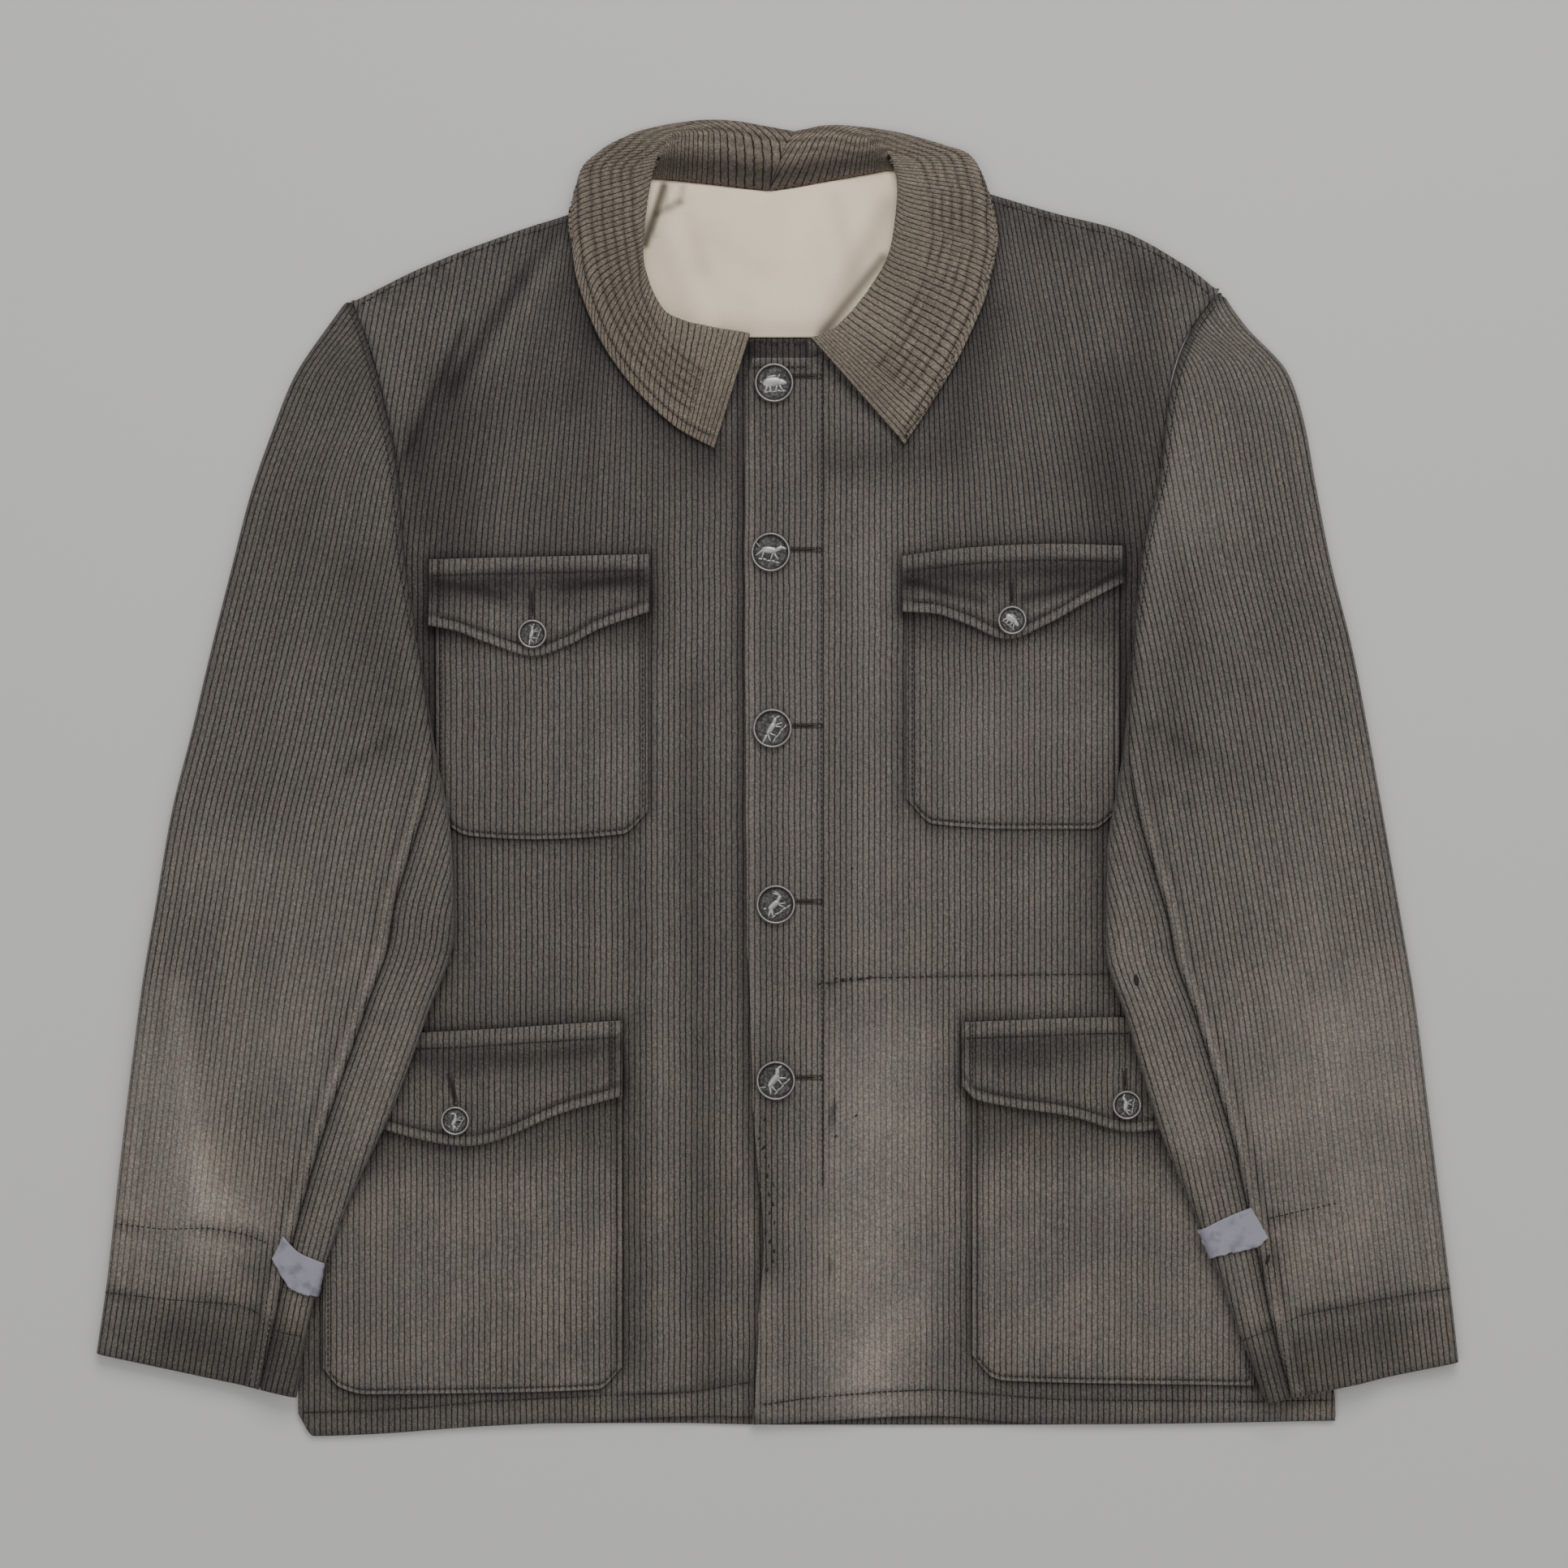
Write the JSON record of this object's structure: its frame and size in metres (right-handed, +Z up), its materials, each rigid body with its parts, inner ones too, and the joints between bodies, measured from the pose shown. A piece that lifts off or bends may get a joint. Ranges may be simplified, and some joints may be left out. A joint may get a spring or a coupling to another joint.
{
  "type": "hunting jacket laid flat",
  "caption": "Worn ribbed cotton field jacket laid flat, buttoned front, patch pockets with pointed flaps, turned-down collar and pale lining in the neck.",
  "frame": {"origin": "bottom centre of the laid-out jacket's box, on the surface it lies on", "axes": "+Z up from the surface to the viewer, +Y from hem to collar, +X to the wearer's left sleeve"},
  "size_m": [0.798, 0.7716, 0.0183],
  "materials": {
    "cord_cloth": "worn matt",
    "collar_cloth": "worn matt",
    "lining_cotton": "matt",
    "patch_cloth": "matt",
    "button_metal": "aged satin"
  },
  "bodies": {
    "root": {"back": "cord_cloth", "front_right": "cord_cloth", "sleeve_right_top": "cord_cloth", "sleeve_right_under": "cord_cloth", "sleeve_left_top": "cord_cloth", "sleeve_left_under": "cord_cloth", "front_left": "cord_cloth", "pocket_chest_right": "cord_cloth", "pocket_chest_left": "cord_cloth", "pocket_hip_right": "cord_cloth", "pocket_hip_left": "cord_cloth", "flap_chest_right": "cord_cloth", "flap_chest_left": "cord_cloth", "flap_hip_right": "cord_cloth", "flap_hip_left": "cord_cloth", "collar_right": "collar_cloth", "collar_left": "collar_cloth", "lining": "lining_cotton", "patch_right": "patch_cloth", "patch_left": "patch_cloth", "button_front_1": "button_metal", "button_front_2": "button_metal", "button_front_3": "button_metal", "button_front_4": "button_metal", "button_front_5": "button_metal", "button_chest_right": "button_metal", "button_chest_left": "button_metal", "button_hip_right": "button_metal", "button_hip_left": "button_metal"}
  },
  "joints": []
}
